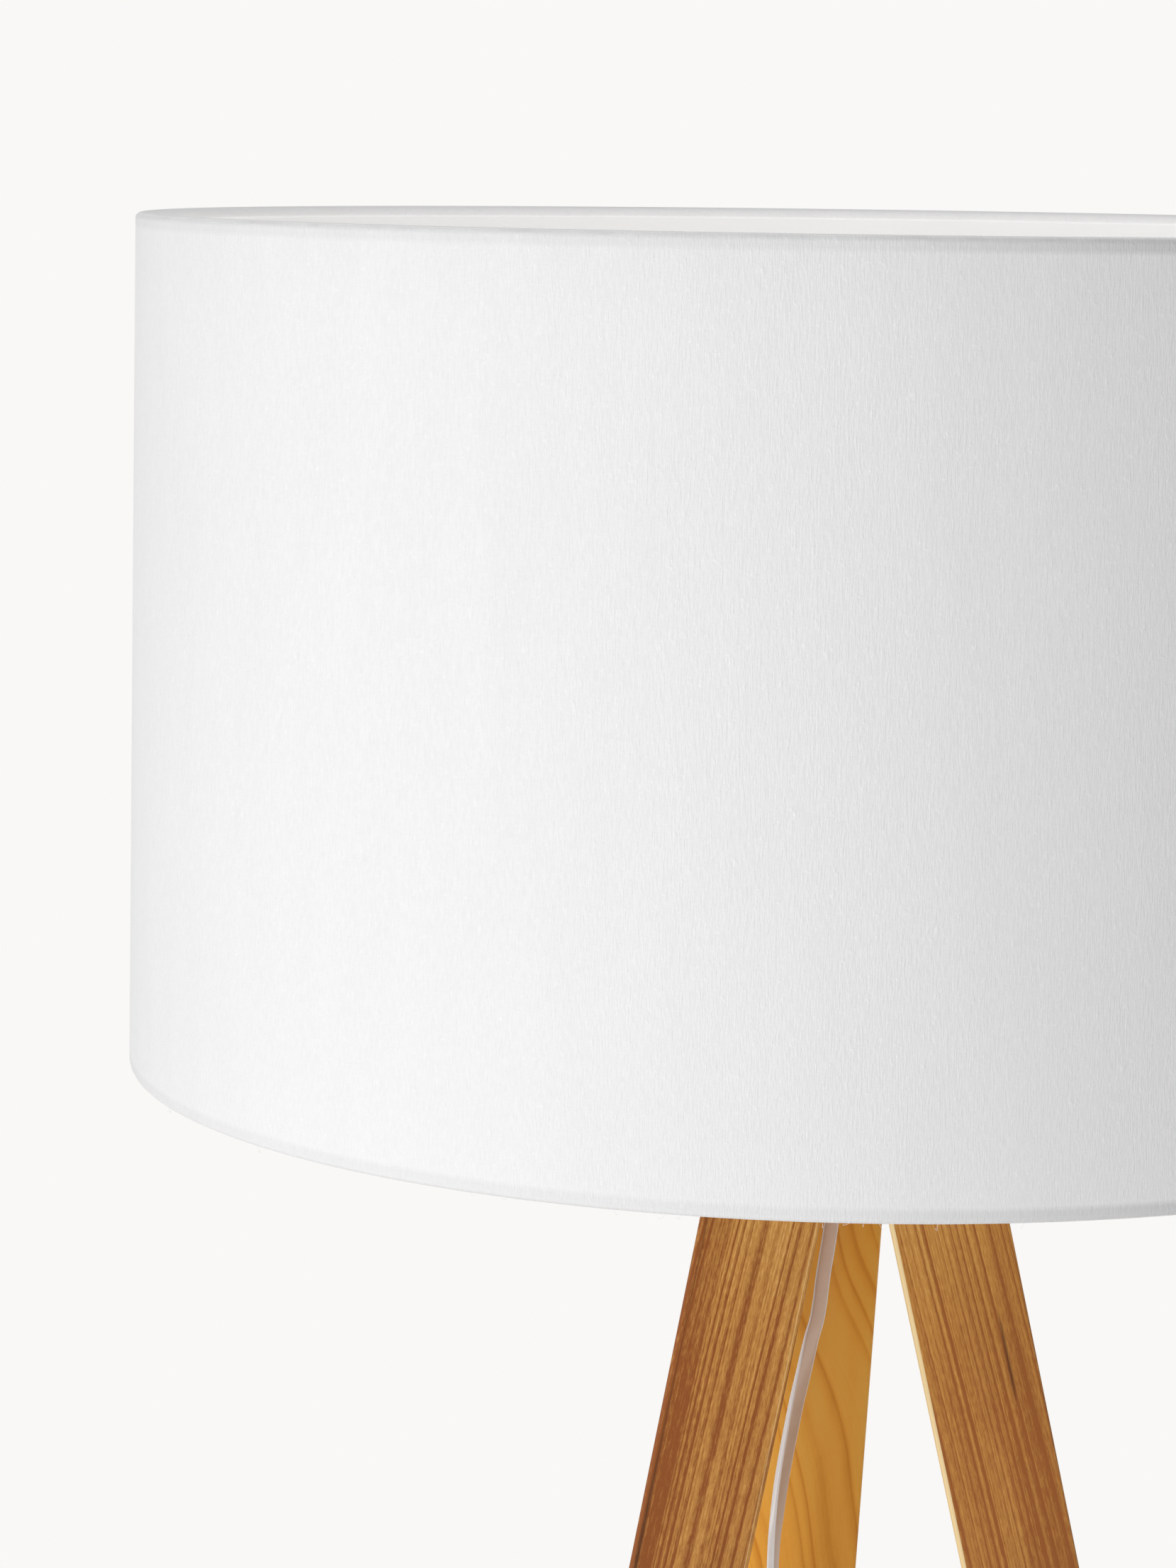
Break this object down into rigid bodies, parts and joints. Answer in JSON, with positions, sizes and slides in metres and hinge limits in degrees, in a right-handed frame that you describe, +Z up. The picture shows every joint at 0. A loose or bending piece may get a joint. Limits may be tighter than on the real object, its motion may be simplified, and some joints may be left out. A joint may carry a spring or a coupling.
{
  "type": "tripod floor lamp",
  "caption": "Floor lamp with a drum fabric shade on wooden legs of triangular section, with bulb, lampholder, flat cord, in-line switch and plug.",
  "frame": {"origin": "middle of the bounding box on the floor, measured without the cord; the lamp's own axis stands 44.05 mm towards -Y from it", "axes": "+Z up; +Y towards the rear leg; +X to the right when the lamp is seen from its front, -Y"},
  "size_m": [0.5858, 0.588, 1.4999],
  "materials": {
    "front_leg_wood": "satin lacquer",
    "rear_leg_wood": "satin lacquer",
    "shade_fabric": "slub weave",
    "shade_lining": "smooth",
    "steel": "zinc plated",
    "brass": "plain",
    "white_plastic": "moulded",
    "opal_plastic": "opal",
    "bulb_cap_metal": "bright",
    "cord_plastic": "soft sheen",
    "felt": "felt"
  },
  "bodies": {
    "stand": {"leg_left": "front_leg_wood", "leg_right": "front_leg_wood", "leg_rear": "rear_leg_wood", "foot_pad_left": "felt", "foot_pad_right": "felt", "foot_pad_rear": "felt", "leg_screw_left": "steel", "leg_screw_right": "steel", "leg_screw_rear": "steel", "plate_screw_left": "steel", "plate_screw_right": "steel", "plate_screw_rear": "steel", "hub_block": "front_leg_wood", "top_plate": "steel", "threaded_tube": "steel", "lower_washer": "steel", "lower_nut": "steel", "upper_washer": "steel", "upper_nut": "steel", "cord_gland": "white_plastic", "lampholder_cap": "white_plastic", "lampholder_body": "white_plastic", "contact_carrier": "white_plastic", "thread_shell": "brass", "centre_contact": "brass", "side_contact": "brass", "cord_in_tube": "cord_plastic", "cord_hanging": "cord_plastic", "cord_middle": "cord_plastic", "cord_coil": "cord_plastic", "cord_end": "cord_plastic", "coil_tie": "white_plastic", "switch_lower_housing": "white_plastic", "switch_upper_housing": "white_plastic", "switch_screw_1": "steel", "switch_screw_2": "steel", "switch_contact_1": "brass", "switch_contact_2": "brass", "plug_body": "white_plastic", "plug_strain_relief": "white_plastic", "plug_pin_left": "brass", "plug_pin_right": "brass"},
    "shade": {"shade_fabric": "shade_fabric", "shade_lining": "shade_lining", "top_wire_ring": "steel", "bottom_wire_ring": "steel", "fitter_ring": "steel", "fitter_arm_1": "steel", "fitter_arm_2": "steel", "fitter_arm_3": "steel"},
    "clamp_ring": {"clamp_ring": "white_plastic"},
    "bulb": {"bulb_cap": "bulb_cap_metal", "bulb_body": "white_plastic", "bulb_diffuser": "opal_plastic"},
    "rocker": {"switch_rocker": "white_plastic"}
  },
  "joints": [
    {"name": "shade_swivel", "type": "hinge", "parent": "stand", "child": "shade", "pos_m": [0, -0.04405, 1.2707], "axis": [0, 0, 1], "continuous": true},
    {"name": "clamp_ring_turn", "type": "hinge", "parent": "stand", "child": "clamp_ring", "pos_m": [0, -0.04405, 1.277], "axis": [0, 0, 1], "range_deg": [0, 720]},
    {"name": "bulb_turn", "type": "hinge", "parent": "stand", "child": "bulb", "pos_m": [0, -0.04405, 1.29], "axis": [0, 0, 1], "range_deg": [0, 900]},
    {"name": "switch_rocker_tilt", "type": "hinge", "parent": "stand", "child": "rocker", "pos_m": [-0.02, 0.06595, 0.0146], "axis": [1, 0, 0], "range_deg": [0, 16]}
  ]
}
